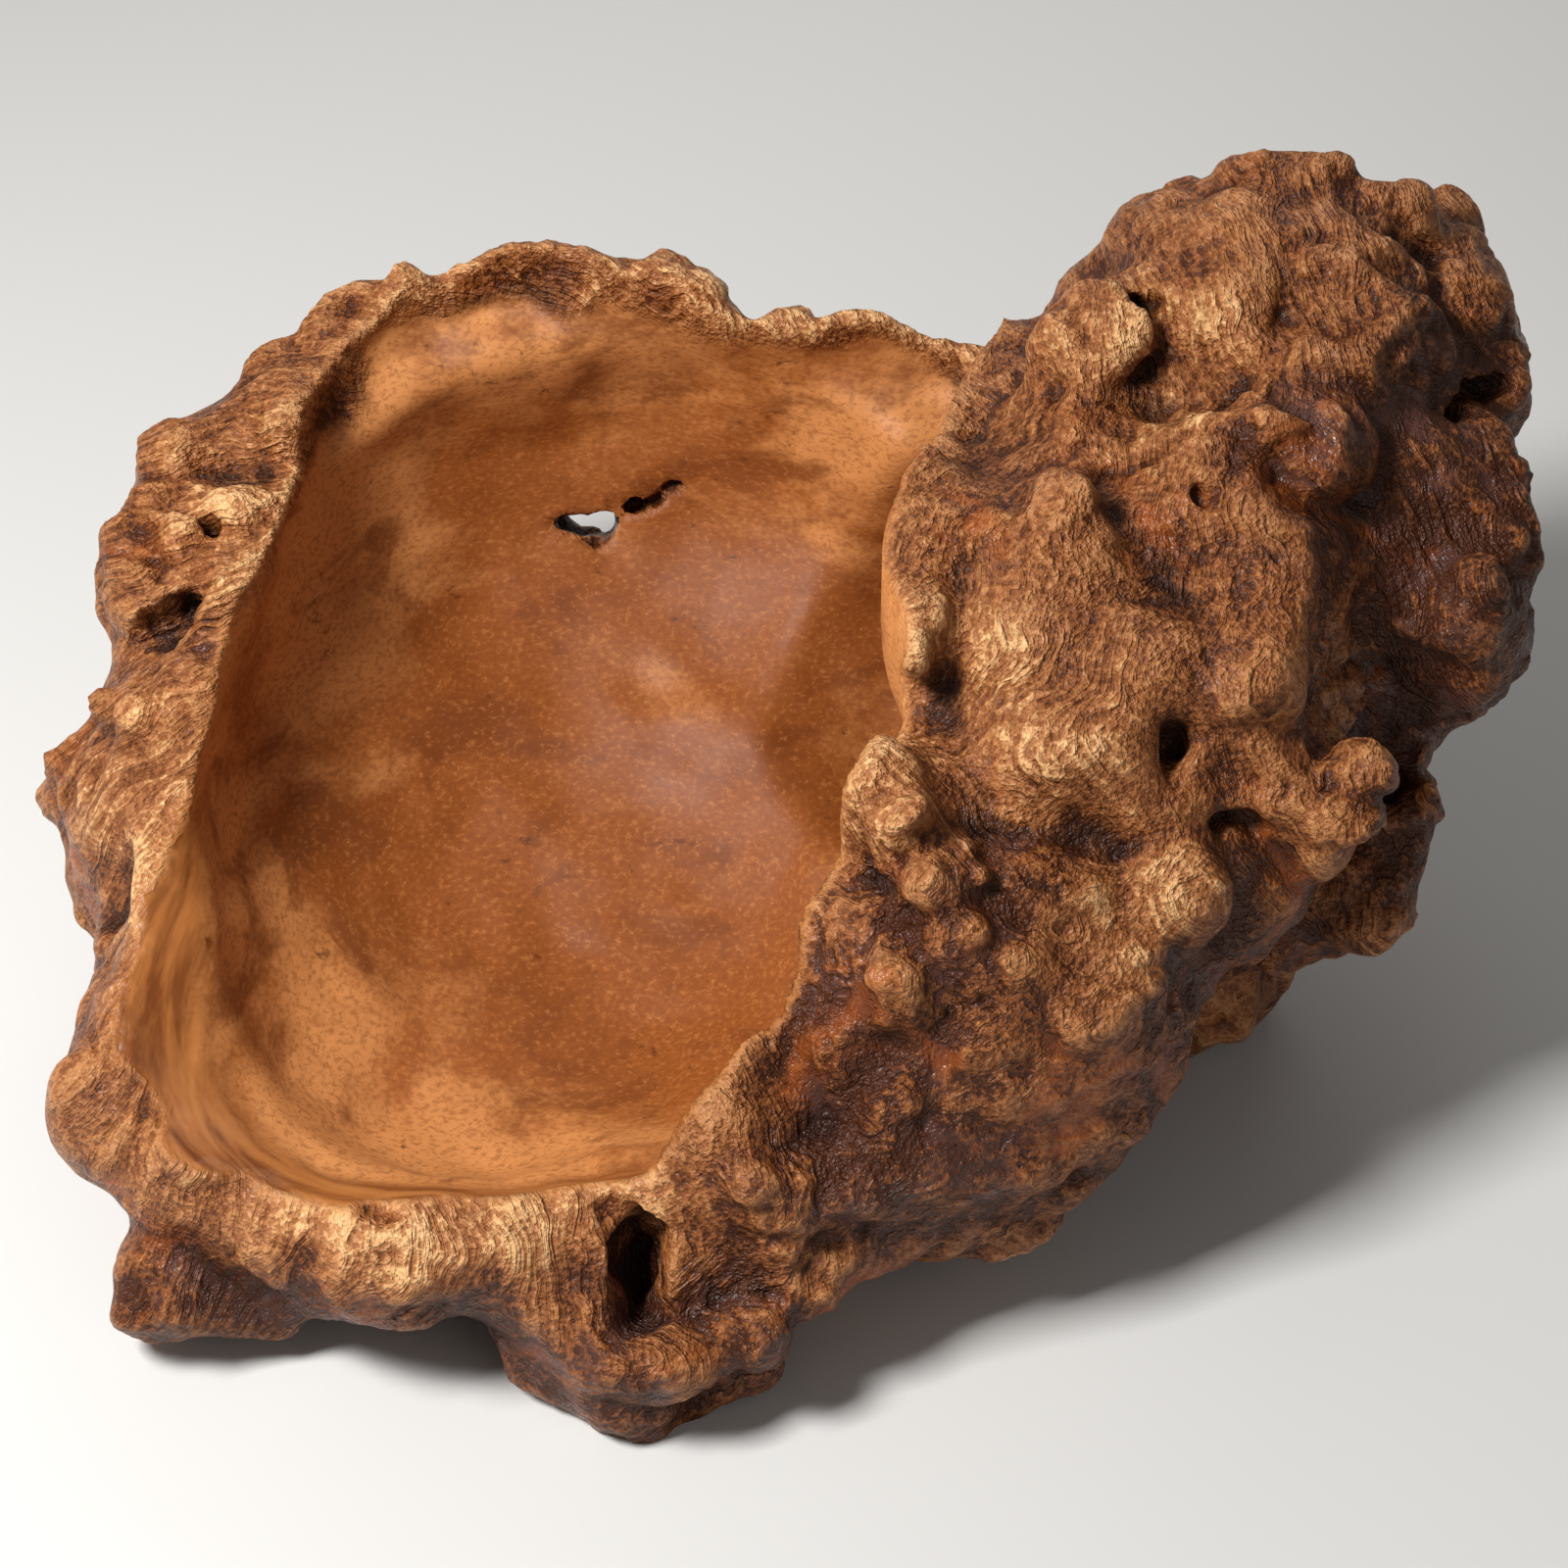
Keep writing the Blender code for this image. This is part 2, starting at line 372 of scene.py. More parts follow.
@dataclass
class Burl:
    """The wood itself: its masses, what is cut away and what has grown on it. Sizes are in mm."""

    seed: int = 6
    swelling_voxel: float = 5.0
    hollow_voxel: float = 4.7
    skin_voxel: float = 2.4
    quick_voxel: float = 4.0
    triangles: int = 196_000
    # From the frame that the masses are set out in to the middle of the outline.
    to_middle: Plan = (-6.4, -10.7)

    masses: dict[str, Swelling] = field(default_factory=lambda: {
        "cup": Swelling((-60, -5, 110), (215, 190, 128), (20, 0, 0)),
        "hood_crown": Swelling((205, 150, 255), (90, 82, 82)),
        "hood_shoulder": Swelling((262, 165, 230), (64, 68, 78)),
        "hood_right": Swelling((256, 95, 190), (70, 85, 80)),
        "hood_skirt": Swelling((215, 25, 120), (66, 64, 72)),
        "hood_middle": Swelling((125, 45, 175), (128, 150, 118)),
        "hood_front": Swelling((75, -65, 115), (105, 108, 108)),
        "hood_base": Swelling((120, 30, 75), (100, 95, 80)),
        "front_ridge": Swelling((0, -115, 75), (100, 80, 75)),
        "front_lip": Swelling((-110, -145, 62), (150, 62, 58)),
        "left_low": Swelling((-235, -70, 75), (60, 90, 62)),
        "left_middle": Swelling((-235, 40, 100), (68, 85, 82)),
        "left_back": Swelling((-209, 117, 145), (78, 90, 95)),
        "back_left": Swelling((-105, 164, 190), (140, 82, 140)),
        "back_middle": Swelling((-22, 172, 170), (80, 60, 84)),
        "back_right": Swelling((30, 145, 170), (125, 74, 140)),
        "front_foot": Swelling((-58, -165, 32), (52, 48, 48)),
        "left_foot": Swelling((-212, -138, 38), (50, 50, 45)),
        "right_foot": Swelling((172, 15, 32), (50, 50, 45)),
        "back_foot": Swelling((-20, 80, 40), (170, 90, 60)),
        "peak": Swelling((200, 180, 304), (22, 20, 26)),
        "twin_left": Swelling((243, 180, 318), (13, 13, 18)),
        "twin_right": Swelling((262, 184, 314), (14, 13, 17)),
        "corner": Swelling((300, 165, 268), (24, 24, 30)),
        "lip_beak": Swelling((48, -78, 222), (26, 30, 24)),
        "lip_top": Swelling((62, 20, 268), (28, 34, 24)),
        "shoulder": Swelling((165, 40, 262), (38, 46, 34)),
        "cheek": Swelling((205, -38, 178), (34, 34, 38)),
        "low_cheek": Swelling((135, -110, 112), (32, 32, 36)),
        "toe_left": Swelling((-98, -184, 22), (24, 22, 24)),
        "toe_middle": Swelling((-55, -192, 18), (26, 22, 24)),
        "toe_right": Swelling((-14, -180, 30), (24, 22, 26)),
        "chin": Swelling((42, -162, 66), (30, 26, 30)),
        "left_knob": Swelling((-268, 95, 165), (24, 28, 28)),
        "left_low_knob": Swelling((-276, -25, 82), (22, 26, 26)),
    })
    carved: dict[str, Swelling] = field(default_factory=lambda: {
        "bowl": Swelling((-75, 0, 150), (160, 160, 112), (12, 0, 0)),
        "bowl_front": Swelling((-120, -65, 118), (105, 98, 72), (12, 0, 0)),
        "under_hood": Swelling((90, 60, 150), (145, 115, 92)),
        "back": Swelling((-60, 95, 190), (150, 112, 110)),
    })
    # The mouth's outline in plan, round from the front.
    mouth: tuple[Plan, ...] = (
        (-131, -167), (-85, -165), (-35, -152), (0, -120), (30, -92), (42, -71), (55, -43),
        (42, -15), (60, 45), (80, 117), (100, 165), (90, 190), (14, 194), (-25, 197), (-80, 215),
        (-150, 212), (-186, 180), (-203, 124), (-211, 72), (-230, 45), (-221, -10), (-228, -65),
        (-226, -105), (-205, -140), (-177, -158),
    )
    mouth_below: float = 30.0
    mouth_above: float = 250.0
    # What the rim is sawn down to, in plan.
    rim: tuple[Plan, ...] = (
        (-60, -170), (-20, -110), (20, -60), (32, 45), (68, 130), (112, 190), (135, 300),
        (-400, 300), (-400, -260), (-75, -260),
    )
    rim_front_y: float = -160.0
    rim_front_z: float = 108.0
    rim_tilt: float = 22.0
    rim_ridge_x: float = -90.0
    rim_droop_at: float = 180.0
    rim_droop: float = 20.0
    slope_voxel: float = 12.0

    # Holes and clefts grown into the wood.
    bites: dict[str, Swelling] = field(default_factory=lambda: {
        "front_pit": Swelling((-50, -196, 76), (13, 30, 26), (-10, 0, 8)),
        "front_pit_tail": Swelling((-62, -188, 98), (7, 16, 9), (-20, 0, 20)),
        "gap": Swelling((-84, 203, 122), (17, 46, 8), (-30, 12, 0)),
        "gap_slit": Swelling((-58, 200, 135), (24, 16, 3.5), (-30, -22, 0)),
        "hood_hole": Swelling((160, -70, 236), (9, 18, 15), (-30, 0, 20)),
        "hood_cleft": Swelling((186, -84, 205), (18, 20, 7), (-20, 15, 0)),
        "hood_pit": Swelling((167, 20, 292), (5, 6, 11), (-15, 0, 0)),
        "hood_pit_small": Swelling((197, 28, 285), (3.5, 3.5, 8), (0, 30, 0)),
        "fold_pit": Swelling((147, 118, 303), (14, 8, 12), (30, -20, 10)),
        "lip_pit": Swelling((76, -32, 268), (6, 6, 8)),
        "corner_crevice": Swelling((286, 112, 262), (26, 16, 6), (0, 0, 30)),
        "side_cleft": Swelling((256, -2, 163), (10, 18, 14)),
        "front_dent": Swelling((-151, -188, 101), (10, 9, 8)),
        "front_pit_round": Swelling((-85, -180, 101), (5.5, 9, 6)),
        "rim_pocket": Swelling((-238, 96, 202), (6, 7, 12)),
        "rim_crevice": Swelling((-255, 66, 178), (30, 9, 13), (0, -15, 12)),
        "inner_pit": Swelling((-106, 200, 208), (5, 8, 3.5), (0, 20, 0)),
    })
    # Small knobs that stand out crisply, each with a crease round its foot.
    nubs: dict[str, Swelling] = field(default_factory=lambda: {
        "peak_tip": Swelling((199, 182, 318), (17, 16, 24), (0, 12, 0)),
        "twin_left": Swelling((232, 172, 313), (10, 10, 12)),
        "twin_right": Swelling((252, 176, 312), (12, 11, 15), (0, 25, 0)),
        "corner_lobe": Swelling((286, 158, 270), (26, 28, 30)),
        "fold_lip": Swelling((128, 105, 296), (30, 24, 16), (0, -30, 20)),
        "lip_lobe": Swelling((56, -20, 262), (20, 34, 18), (0, 0, -12)),
        "beak": Swelling((40, -84, 226), (20, 18, 26), (0, 20, 0)),
        "beak_knot": Swelling((66, -112, 212), (18, 18, 14)),
        "cheek_grey": Swelling((106, -100, 196), (34, 22, 18), (0, 20, 20)),
        "cheek_gold": Swelling((150, -94, 178), (26, 22, 32), (0, 25, 0)),
        "cheek_foot": Swelling((186, -66, 150), (30, 24, 36)),
        "hanging_knob": Swelling((214, -30, 96), (20, 20, 26)),
        "side_knob": Swelling((248, -4, 142), (24, 26, 26)),
        "side_knob_low": Swelling((240, -30, 118), (24, 22, 22)),
        "side_knob_high": Swelling((282, 40, 200), (28, 34, 34)),
        "swirl": Swelling((212, 60, 284), (34, 26, 20), (10, 20, 0)),
        "chin_curl": Swelling((-44, -212, 42), (26, 20, 19), (0, 15, 0)),
        "chin_curl_right": Swelling((-10, -200, 47), (18, 17, 15)),
        "chin_ball": Swelling((12, -186, 56), (15, 14, 14)),
        "left_toe": Swelling((-240, -168, 38), (24, 24, 26)),
        "rim_knot": Swelling((-226, 108, 200), (18, 16, 12)),
        "rim_knob": Swelling((-262, 86, 182), (24, 22, 22)),
        "rim_top": Swelling((-196, 150, 216), (22, 16, 14)),
        "crest_left": Swelling((-150, 206, 236), (30, 16, 14), (0, 8, 0)),
        "crest_top": Swelling((-96, 214, 252), (34, 16, 16)),
        "crest_beak": Swelling((-40, 212, 248), (24, 13, 11), (0, 14, 0)),
        "rim_bud": Swelling((8, 206, 232), (12, 10, 10)),
    })
    buds: int = 150
    bud_seed: int = 11
    bud_box: tuple[Span, Span, Span] = ((-320.0, 320.0), (-230.0, 230.0), (10.0, 330.0))
    bud_least: float = 5.0
    bud_most: float = 17.0
    bud_power: float = 2.2
    # Below this height no buds grow.
    bud_floor: float = 12.0
    # The oval in plan round the mouth in which none grow near or above the rim.
    bare_middle: Plan = (-75.0, 0.0)
    bare_half: Plan = (150.0, 165.0)
    bare_below: float = 20.0
    # Where the grain rings round a bud: its place and how far the rings reach.
    eyes: dict[str, tuple[Place, float]] = field(default_factory=lambda: {
        "hood_eye": ((148, 29, 285), 20),
        "beak_eye": ((50, -86, 234), 14),
        "lip_eye": ((71, -120, 206), 15),
        "side_eye": ((231, 3, 205), 18),
        "rim_eye": ((-228, 109, 204), 14),
    })

    # Where the rough skin is most golden: partly its own tone, partly painted light on the faces that the key
    # light falls on. And where it is darkest: partly dark wood, partly painted shade on the right side and
    # under the overhangs.
    golden: dict[str, Swelling] = field(default_factory=lambda: {
        "hood_middle": Swelling((95, -55, 240), (75, 65, 60)),
        "hood_cheek": Swelling((140, -105, 185), (45, 35, 35)),
        "hood_top": Swelling((150, 80, 300), (60, 60, 40)),
        "front_wall": Swelling((-130, -190, 100), (125, 40, 26)),
        "left_wall": Swelling((-262, -10, 135), (38, 95, 45)),
        "left_back": Swelling((-215, 110, 200), (50, 60, 40)),
        "back_crest": Swelling((-90, 205, 240), (110, 40, 40)),
        "back_rim": Swelling((50, 200, 235), (80, 30, 40)),
        "beak": Swelling((40, -90, 225), (30, 30, 40)),
    })
    # Partly dark wood, mostly painted shade on the right side, the hood's lower front and under the
    # overhangs; these patches also carry more of the painted grey sheen.
    dark_and_shaded_patches: dict[str, Swelling] = field(default_factory=lambda: {
        "hood_right": Swelling((285, 60, 190), (80, 160, 150)),
        "hood_low": Swelling((150, -90, 105), (140, 70, 85)),
        "chin": Swelling((50, -140, 120), (60, 60, 75)),
        "under_front": Swelling((-150, -160, 28), (130, 60, 58)),
        "front_foot": Swelling((-40, -190, 26), (80, 60, 50)),
        "fold": Swelling((215, 40, 275), (50, 50, 35)),
        "lip_shade_and_sheen": Swelling((70, -110, 195), (35, 25, 25)),
    })

    folds: Folds = Folds()
    grained: Grain = Grain()
    # How often each fused skin is evened out.
    body_ease: int = 8
    rim_ease: int = 6
    bud_ease: int = 3
    hollow_ease: int = 25
    hole_ease: int = 1
    skin_ease: int = 3

    lumps: Waves = ((95.0, 17.0), (44.0, 12.0))
    lump_bias: float = -0.04
    hole_voxel: float = 1.6
    hole_bend: Waves = ((17.0, 8.0), (7.0, 3.0))
    skin_bend: Waves = ((31.0, 6.0), (12.0, 2.5))
    calm_bend: float = 0.3
    patch_bend: Waves = ((40.0, 26.0),)
    carved_waves: Waves = ((55.0, 4.2), (21.0, 1.89))
    # How far the polished lip leans out at the front and left, and how deep it reaches.
    lip_lean: float = 40.0
    lip_depth: float = 26.0
    lip_above: float = 8.0
    lip_power: float = 1.3
    # Where in plan the lip begins and where it is full, and how full it is at the front.
    lip_y: Span = (5.0, -60.0)
    lip_x: Span = (20.0, -60.0)
    lip_left: Span = (-120.0, -190.0)
    lip_front: float = 0.45
    wave_depth: float = 40.0
    least_wall: float = 8.0

    # How gnarled the wood is: its mean, how it drifts, and where it is calm.
    wild_mean: float = 0.52
    wild_swing: float = 0.9
    wild_apart: float = 75.0
    wild_least: float = 0.12
    calm: Swelling = Swelling((105.0, -45.0, 235.0), (75.0, 70.0, 70.0))

    # How far below its top the back wall's crest stays rough, and how ragged that line is.
    crest: float = 17.0
    crest_ragged: float = 1.4
    crest_apart: float = 26.0
    crest_blur: float = 3.0
    back_y: Span = (40.0, 110.0)
    # How near the hollow a point counts as carved, and from where it doesn't.
    touch: Span = (0.9, 2.2)

    # How the skin is labelled: rounds of evening out and the height that counts as full.
    relief_rounds: int = 4
    relief_high: float = 0.8
    height_rounds: int = 60
    height_high: float = 5.0
    # How far below the rim the hollow's painted shade begins and is full.
    deep: Span = (55.0, 130.0)
    patch_edge: Span = (1.15, 0.6)

    def build(self) -> bpy.types.Object:
        """Grows, carves and dresses the whole skin.

        Returns:
            The finished piece, at the origin.
        """
        noise.seed_set(self.seed)
        voxel = self.skin_voxel
        wood = self.body()
        self.carve(wood, self.sloped("rim_slope", self.rim, 0.0, False))
        self.lumpy(fused(wood, self.swelling_voxel, self.rim_ease))
        self.bud(wood)
        fused(wood, voxel, self.bud_ease)
        hollow = self.hollow()
        self.gnarl(wood, hollow)
        self.carve(wood, hollow, keep_cutter=True)
        self.carve(wood, self.grown_holes())
        fused(wood, voxel, self.skin_ease)
        log.info("fused: %d points", len(wood.data.vertices))
        self.grain(wood, hollow)
        self.thin(wood)
        self.level(wood)
        self.label(wood, hollow)
        bpy.data.objects.remove(hollow)
        wood.data.transform(Matrix.Translation((self.to_middle[0] * MM, self.to_middle[1] * MM, 0.0)))
        wood.data.shade_smooth()
        return wood

    def body(self) -> bpy.types.Object:
        """Fuses every mass into one.

        Returns:
            The uncarved burl.
        """
        shape = bmesh.new()
        for mass in self.masses.values():
            mass.add_to(shape)
        return fused(new_object("burl_wood", shape), self.swelling_voxel, self.body_ease)

    def grown_holes(self) -> bpy.types.Object:
        """Fuses every hole and cleft, and bends them out of true.

        Returns:
            One shape to cut with.
        """
        shape = bmesh.new()
        for bite in self.bites.values():
            bite.add_to(shape, 3)
        holes = fused(new_object("grown_holes", shape), self.hole_voxel, self.hole_ease)
        skin = Skin(holes)
        skin.points += over(skin.points / MM, lambda place: bend(place, self.hole_bend)) * MM
        skin.store()
        return holes

    def lumpy(self, obj: bpy.types.Object) -> None:
        """Raises broad rounded lumps over the whole skin.

        Args:
            obj: The wood, changed in place.
        """
        skin = Skin(obj)

        def height(place: Vector) -> float:
            """Adds up the waves at one place.

            Args:
                place: Where, in mm.

            Returns:
                How high the lumps stand there, in mm.
            """
            return sum(rise * (noise.noise(place / apart) + self.lump_bias) for apart, rise in self.lumps)

        heights = over(skin.points / MM, height)
        skin.points += skin.normals * heights[:, None] * MM
        skin.store()

    def rim_height(self, x: np.ndarray, y: np.ndarray) -> np.ndarray:
        """How high the rim's slope is over places in plan.

        Args:
            x: Across, in mm.
            y: To the back, in mm.

        Returns:
            The heights, in mm.
        """
        rise = math.tan(math.radians(self.rim_tilt))
        droop = self.rim_droop * ((x - self.rim_ridge_x) / self.rim_droop_at) ** 2
        return self.rim_front_z + (y - self.rim_front_y) * rise - droop

    def sloped(self, name: str, outline: tuple[Plan, ...], below: float, smooth: bool) -> bpy.types.Object:
        """An upright prism whose level ends follow the rim's slope.

        Args:
            name: The new object's name.
            outline: Its outline in plan.
            below: How far it reaches below the slope.
            smooth: Whether the outline is a smooth curve.

        Returns:
            The prism.
        """
        curve = bpy.data.curves.new(name, "CURVE")
        curve.dimensions = "2D"
        curve.fill_mode = "BOTH"
        curve.extrude = (self.mouth_above + below) / 2 * MM
        spline = curve.splines.new("BEZIER")
        spline.bezier_points.add(len(outline) - 1)
        for point, (x, y) in zip(spline.bezier_points, outline):
            point.co = (x * MM, y * MM, 0.0)
            point.handle_left_type = point.handle_right_type = "AUTO" if smooth else "VECTOR"
        spline.use_cyclic_u = True
        spline.resolution_u = 6 if smooth else 1
        drawn = bpy.data.objects.new(name + "_outline", curve)
        bpy.context.scene.collection.objects.link(drawn)
        graph = bpy.context.evaluated_depsgraph_get()
        mesh = bpy.data.meshes.new_from_object(drawn.evaluated_get(graph))
        bpy.data.objects.remove(drawn)
        shape = bmesh.new()
        shape.from_mesh(mesh)
        bmesh.ops.remove_doubles(shape, verts=shape.verts, dist=MERGE)
        bmesh.ops.translate(shape, verts=shape.verts, vec=(0.0, 0.0, (self.mouth_above - below) / 2 * MM))
        prism = fused(new_object(name, shape), self.slope_voxel, 0)
        skin = Skin(prism)
        x, y = skin.points[:, 0] / MM, skin.points[:, 1] / MM
        skin.points[:, 2] += self.rim_height(x, y) * MM
        skin.store()
        return prism

    def lip_share(self, x: np.ndarray, y: np.ndarray) -> np.ndarray:
        """How far the rim is turned out into the polished lip over places in plan.

        Args:
            x: Across, in mm.
            y: To the back, in mm.

        Returns:
            The shares, from 0 to 1.
        """
        fullness = self.lip_front + (1.0 - self.lip_front) * ramp(x, *self.lip_left)
        return ramp(y, *self.lip_y) * ramp(x, *self.lip_x) * fullness

    def hollow(self) -> bpy.types.Object:
        """Makes the carved space, with the mouth's lip turned out.

        Returns:
            One closed shape.
        """
        mouth = self.sloped("mouth", self.mouth, self.mouth_below, True)
        shape = bmesh.new()
        shape.from_mesh(mouth.data)
        bpy.data.objects.remove(mouth)
        for bite in self.carved.values():
            bite.add_to(shape)
        hollow = fused(new_object("hollow", shape), self.hollow_voxel, self.hollow_ease)
        skin = Skin(hollow)
        x, y, z = (skin.points / MM).T
        above = z - self.rim_height(x, y)
        high = ramp(above, -self.lip_depth, self.lip_above)
        lean = self.lip_lean * self.lip_share(x, y) * high**self.lip_power
        out = skin.normals.copy()
        out[:, 2] = 0.0
        out /= np.maximum(np.linalg.norm(out, axis=1), 1e-6)[:, None]
        skin.points += out * lean[:, None] * MM
        waves = over(
            skin.points / MM,
            lambda place: sum(rise * noise.noise(place / apart) for apart, rise in self.carved_waves),
        )
        skin.points += skin.normals * (waves * ramp(above, self.wave_depth, 0.0))[:, None] * MM
        skin.store()
        return hollow

    def carve(self, obj: bpy.types.Object, cutter: bpy.types.Object, keep_cutter: bool = False) -> None:
        """Cuts one shape out of another.

        Args:
            obj: What is cut.
            cutter: What is cut out of it.
            keep_cutter: Whether the cutter is still needed.
        """
        cut = obj.modifiers.new("carve", "BOOLEAN")
        cut.solver = "MANIFOLD"
        cut.object = cutter
        apply_modifiers(obj)
        cutter.hide_render = True
        if not keep_cutter:
            bpy.data.objects.remove(cutter)

    def gnarl(self, obj: bpy.types.Object, hollow: bpy.types.Object) -> None:
        """Folds the rough skin into flowing ridges, knobs and clefts, and leaves thin walls whole.

        Args:
            obj: The wood, changed in place.
            hollow: The carved space.
        """
        skin = Skin(obj)
        tree = BVHTree.FromObject(hollow, bpy.context.evaluated_depsgraph_get())
        wild = self.wildness(skin.points / MM)
        heights = np.array([
            self.folds.height(place, share) for place, share in zip(map(Vector, skin.points / MM), wild)
        ])
        room = np.array([tree.find_nearest(point)[3] for point in skin.points]) / MM
        heights = np.maximum(heights, -np.maximum(room - self.least_wall, 0.0))
        bends = over(skin.points / MM, lambda place: bend(place, self.skin_bend))
        bends *= (self.calm_bend + (1.0 - self.calm_bend) * wild)[:, None]
        skin.points += (skin.normals * heights[:, None] + bends) * MM
        skin.store()

    def bud(self, obj: bpy.types.Object) -> None:
        """Grows the small knobs: the placed ones, and many more where the wood is gnarled.

        Args:
            obj: The wood, which takes them as loose shells.
        """
        chance = random.Random(self.bud_seed)
        tree = BVHTree.FromObject(obj, bpy.context.evaluated_depsgraph_get())
        shape = bmesh.new()
        for nub in self.nubs.values():
            nub.add_to(shape, 3)
        grown = 0
        while grown < self.buds:
            aim = Vector([chance.uniform(*side) for side in self.bud_box])
            spot, outward, _, _ = tree.find_nearest(aim * MM)
            place = np.array([spot / MM])
            gnarled = self.wildness(place)[0] >= 0.35 + 0.5 * chance.random()
            if not gnarled or place[0, 2] < self.bud_floor or self.is_bare(*place[0]):
                continue
            size = self.bud_least + (self.bud_most - self.bud_least) * chance.random() ** self.bud_power
            middle = spot / MM - outward * size * (0.2 + 0.4 * chance.random())
            half = tuple(size * (0.75 + 0.6 * chance.random()) for _ in range(3))
            turn = tuple(360.0 * chance.random() for _ in range(3))
            Swelling(tuple(middle), half, turn).add_to(shape, 2)
            grown += 1
        shape.from_mesh(obj.data)
        shape.to_mesh(obj.data)
        shape.free()

    def is_bare(self, x: float, y: float, z: float) -> bool:
        """Whether a place is so near the mouth that no bud grows there.

        Args:
            x: Across, in mm.
            y: To the back, in mm.
            z: Up, in mm.

        Returns:
            True if none grows.
        """
        across = (x - self.bare_middle[0]) / self.bare_half[0]
        along = (y - self.bare_middle[1]) / self.bare_half[1]
        return self.rim_height(x, y) - z > -self.bare_below and across**2 + along**2 < 1.0

    def wildness(self, places: np.ndarray) -> np.ndarray:
        """How gnarled the wood is: the hood's front and the front wall are calm.

        Args:
            places: One place a row, in mm.

        Returns:
            The shares, from 0 to 1.
        """
        x, y, z = places.T
        drift = over(places, lambda place: noise.noise(place / self.wild_apart))
        wild = self.wild_mean + self.wild_swing * drift
        wild += 0.35 * ramp(x, 190.0, 260.0) + 0.2 * ramp(z, 265.0, 310.0)
        calm = np.linalg.norm((places - self.calm.middle) / self.calm.half, axis=1)
        wild -= 0.7 * ramp(calm, 1.3, 0.5)
        wild -= 0.10 * ramp(y, -130.0, -165.0) * ramp(x, 20.0, -30.0)
        return np.clip(wild, self.wild_least, 1.0)

    def grain(self, obj: bpy.types.Object, hollow: bpy.types.Object) -> None:
        """Snaps the carved side to the clean hollow and roughens the rest.

        Args:
            obj: The wood, changed in place.
            hollow: The carved space.
        """
        skin = Skin(obj)
        tree = BVHTree.FromObject(hollow, bpy.context.evaluated_depsgraph_get())
        carved = self.carved_share(skin, tree)
        wild = self.wildness(skin.points / MM)
        eyes = list(self.eyes.values())
        for index, point in enumerate(skin.points):
            if carved[index] > 0.5:
                skin.points[index] = tree.find_nearest(point)[0]
            else:
                height = self.grained.height(Vector(point) / MM, wild[index], eyes)
                skin.points[index] = point + skin.normals[index] * height * MM
        skin.store()

    def carved_share(self, skin: Skin, tree: BVHTree) -> np.ndarray:
        """Which points lie on the carved hollow; the crest of the back wall counts as rough.

        Args:
            skin: The wood's skin.
            tree: The hollow's faces.

        Returns:
            One share a point, from 0 to 1.
        """
        away = np.array([tree.find_nearest(point)[3] for point in skin.points]) / MM
        places = skin.points / MM
        x, y, z = places.T
        below = self.rim_height(x, y) - z
        ragged = over(places, lambda place: noise.noise(place / self.crest_apart))
        back = ramp(y, *self.back_y)
        crest = self.crest * (1.0 + self.crest_ragged * ragged) * back
        rough = ramp(below, crest + self.crest_blur, crest - self.crest_blur) * back
        return (1.0 - ramp(away, *self.touch)) * (1.0 - rough)

    def thin(self, obj: bpy.types.Object) -> None:
        """Brings the skin under its number of triangles.

        Args:
            obj: The wood, changed in place.
        """
        now = 2 * len(obj.data.polygons)
        if now > self.triangles:
            fewer = obj.modifiers.new("thin", "DECIMATE")
            fewer.ratio = self.triangles / now
            apply_modifiers(obj)

    def level(self, obj: bpy.types.Object) -> None:
        """Drops loose crumbs, saws the underside level and closes it.

        Args:
            obj: The wood, changed in place.
        """
        shape = bmesh.new()
        shape.from_mesh(obj.data)
        bmesh.ops.delete(shape, geom=self.crumbs(shape), context="VERTS")
        cut = bmesh.ops.bisect_plane(
            shape,
            geom=[*shape.verts, *shape.edges, *shape.faces],
            dist=1e-6,
            plane_co=(0.0, 0.0, 0.0),
            plane_no=(0.0, 0.0, 1.0),
            clear_inner=True,
        )
        edges = [item for item in cut["geom_cut"] if isinstance(item, bmesh.types.BMEdge)]
        bmesh.ops.triangle_fill(shape, edges=edges, use_beauty=True, normal=(0.0, 0.0, -1.0))
        bmesh.ops.recalc_face_normals(shape, faces=shape.faces)
        shape.to_mesh(obj.data)
        shape.free()

    def crumbs(self, shape: bmesh.types.BMesh) -> list[bmesh.types.BMVert]:
        """Finds what isn't joined to the largest body.

        Args:
            shape: The bmesh.

        Returns:
            The loose points.
        """
        left = set(shape.verts)
        bodies = []
        while left:
            edge = [left.pop()]
            body = list(edge)
            while edge:
                near = {link.other_vert(point) for point in edge for link in point.link_edges} & left
                left -= near
                edge = list(near)
                body += edge
            bodies.append(body)
        bodies.sort(key=len)
        return [point for body in bodies[:-1] for point in body]

    def label(self, obj: bpy.types.Object, hollow: bpy.types.Object) -> None:
        """Stores what the finish reads: where the skin is carved, how it stands and how it is tinted, the
        tint being partly painted light and shade.

        Args:
            obj: The wood, changed in place.
            hollow: The carved space.
        """
        skin = Skin(obj)
        tree = BVHTree.FromObject(hollow, bpy.context.evaluated_depsgraph_get())
        carved = self.carved_share(skin, tree)
        skin.keep(Layer.CARVED, skin.eased(carved, 2))
        skin.keep(Layer.RELIEF, np.clip(skin.standing(self.relief_rounds) / self.relief_high, -1.0, 1.0))
        skin.keep(Layer.HEIGHT, np.clip(skin.standing(self.height_rounds) / self.height_high, -1.0, 1.0))
        x, y, z = (skin.points / MM).T
        below = self.rim_height(x, y) - z
        polished = ramp(self.lip_share(x, y), 0.1, 0.4) * ramp(below, self.lip_depth + 4.0, 10.0)
        skin.keep(Layer.LIP, carved * polished)
